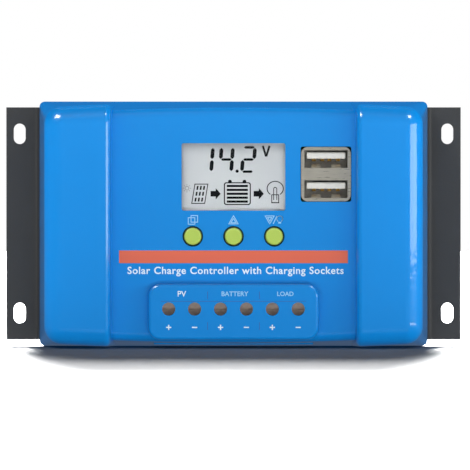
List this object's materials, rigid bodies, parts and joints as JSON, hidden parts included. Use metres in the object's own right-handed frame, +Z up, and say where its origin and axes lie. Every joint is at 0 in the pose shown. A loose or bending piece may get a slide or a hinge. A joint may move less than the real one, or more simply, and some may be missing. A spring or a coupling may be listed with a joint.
{
  "type": "solar charge controller",
  "caption": "Wall-mounted solar charge controller with raised side pods, a display window, charging sockets, push buttons and screw terminals on a stepped metal plate.",
  "frame": {"origin": "centre of the wall plane: the plane of the flange backs, midway between the four slots", "axes": "+X to the right along the wall, +Z up, +Y into the wall; the display faces -Y"},
  "size_m": [0.133, 0.0335, 0.0714],
  "materials": {
    "plate": "satin powder coat",
    "case": "satin moulded",
    "lens": "clear gloss",
    "glass": "clear gloss",
    "diffuser": "frosted",
    "white_plastic": "moulded",
    "strip_rubber": "matt",
    "board": "green solder mask",
    "steel": "zinc plated",
    "black_steel": "black zinc",
    "black_plastic": "moulded",
    "tin": "tin plated",
    "nickel": "nickel plated",
    "gold": "gold flash",
    "brass": "turned",
    "can_aluminium": "drawn",
    "sleeve": "shrunk film",
    "ferrite": "coated",
    "copper": "enamelled wire",
    "pad_silicone": "matt",
    "button": "satin moulded"
  },
  "bodies": {
    "controller": {"mounting_plate": "plate", "case": "case", "lens": "lens", "front_glass": "glass", "rear_glass": "glass", "light_guide": "diffuser", "glass_holder": "white_plastic", "contact_strips": "strip_rubber", "display_board": "board", "display_screws": "steel", "switch_bodies": "black_plastic", "switch_leads": "tin", "usb_shell": "nickel", "usb_insulator": "white_plastic", "usb_contacts": "gold", "power_board": "board", "standoffs": "brass", "board_screws": "steel", "case_screws": "black_steel", "terminal_block": "black_plastic", "terminal_bars": "tin", "capacitor_cans": "can_aluminium", "capacitor_sleeves": "sleeve", "inductor_core": "ferrite", "inductor_winding": "copper", "thermal_pad": "pad_silicone", "transistor_tabs": "tin", "transistor_bodies": "black_plastic", "transistor_leads": "tin", "header": "black_plastic", "header_pins": "gold", "chips": "black_plastic", "shunts": "copper"},
    "left_button": {"left_button_cap": "button", "left_plunger": "black_plastic"},
    "middle_button": {"middle_button_cap": "button", "middle_plunger": "black_plastic"},
    "right_button": {"right_button_cap": "button", "right_plunger": "black_plastic"},
    "pv_plus_screw": {"pv_plus_screw": "steel"},
    "pv_plus_cage": {"pv_plus_cage": "tin"},
    "pv_minus_screw": {"pv_minus_screw": "steel"},
    "pv_minus_cage": {"pv_minus_cage": "tin"},
    "battery_plus_screw": {"battery_plus_screw": "steel"},
    "battery_plus_cage": {"battery_plus_cage": "tin"},
    "battery_minus_screw": {"battery_minus_screw": "steel"},
    "battery_minus_cage": {"battery_minus_cage": "tin"},
    "load_plus_screw": {"load_plus_screw": "steel"},
    "load_plus_cage": {"load_plus_cage": "tin"},
    "load_minus_screw": {"load_minus_screw": "steel"},
    "load_minus_cage": {"load_minus_cage": "tin"}
  },
  "joints": [
    {"name": "left_press", "type": "slide", "parent": "controller", "child": "left_button", "axis": [0, 1, 0], "range_m": [0, 0.0005], "stiffness_N_per_m": 3200},
    {"name": "middle_press", "type": "slide", "parent": "controller", "child": "middle_button", "axis": [0, 1, 0], "range_m": [0, 0.0005], "stiffness_N_per_m": 3200},
    {"name": "right_press", "type": "slide", "parent": "controller", "child": "right_button", "axis": [0, 1, 0], "range_m": [0, 0.0005], "stiffness_N_per_m": 3200},
    {"name": "pv_plus_turn", "type": "hinge", "parent": "controller", "child": "pv_plus_screw", "pos_m": [-0.01875, -0.027, -0.0242], "axis": [0, 1, 0], "range_deg": [0, 2160]},
    {"name": "pv_plus_lift", "type": "slide", "parent": "controller", "child": "pv_plus_cage", "axis": [0, -1, 0], "range_m": [0, 0.0036]},
    {"name": "pv_minus_turn", "type": "hinge", "parent": "controller", "child": "pv_minus_screw", "pos_m": [-0.01125, -0.027, -0.0242], "axis": [0, 1, 0], "range_deg": [0, 2160]},
    {"name": "pv_minus_lift", "type": "slide", "parent": "controller", "child": "pv_minus_cage", "axis": [0, -1, 0], "range_m": [0, 0.0036]},
    {"name": "battery_plus_turn", "type": "hinge", "parent": "controller", "child": "battery_plus_screw", "pos_m": [-0.00375, -0.027, -0.0242], "axis": [0, 1, 0], "range_deg": [0, 2160]},
    {"name": "battery_plus_lift", "type": "slide", "parent": "controller", "child": "battery_plus_cage", "axis": [0, -1, 0], "range_m": [0, 0.0036]},
    {"name": "battery_minus_turn", "type": "hinge", "parent": "controller", "child": "battery_minus_screw", "pos_m": [0.00375, -0.027, -0.0242], "axis": [0, 1, 0], "range_deg": [0, 2160]},
    {"name": "battery_minus_lift", "type": "slide", "parent": "controller", "child": "battery_minus_cage", "axis": [0, -1, 0], "range_m": [0, 0.0036]},
    {"name": "load_plus_turn", "type": "hinge", "parent": "controller", "child": "load_plus_screw", "pos_m": [0.01125, -0.027, -0.0242], "axis": [0, 1, 0], "range_deg": [0, 2160]},
    {"name": "load_plus_lift", "type": "slide", "parent": "controller", "child": "load_plus_cage", "axis": [0, -1, 0], "range_m": [0, 0.0036]},
    {"name": "load_minus_turn", "type": "hinge", "parent": "controller", "child": "load_minus_screw", "pos_m": [0.01875, -0.027, -0.0242], "axis": [0, 1, 0], "range_deg": [0, 2160]},
    {"name": "load_minus_lift", "type": "slide", "parent": "controller", "child": "load_minus_cage", "axis": [0, -1, 0], "range_m": [0, 0.0036]}
  ],
  "couplings": [
    {"joint": "pv_plus_turn", "follows": "pv_plus_lift", "rad_per_m": 10472},
    {"joint": "pv_minus_turn", "follows": "pv_minus_lift", "rad_per_m": 10472},
    {"joint": "battery_plus_turn", "follows": "battery_plus_lift", "rad_per_m": 10472},
    {"joint": "battery_minus_turn", "follows": "battery_minus_lift", "rad_per_m": 10472},
    {"joint": "load_plus_turn", "follows": "load_plus_lift", "rad_per_m": 10472},
    {"joint": "load_minus_turn", "follows": "load_minus_lift", "rad_per_m": 10472}
  ]
}
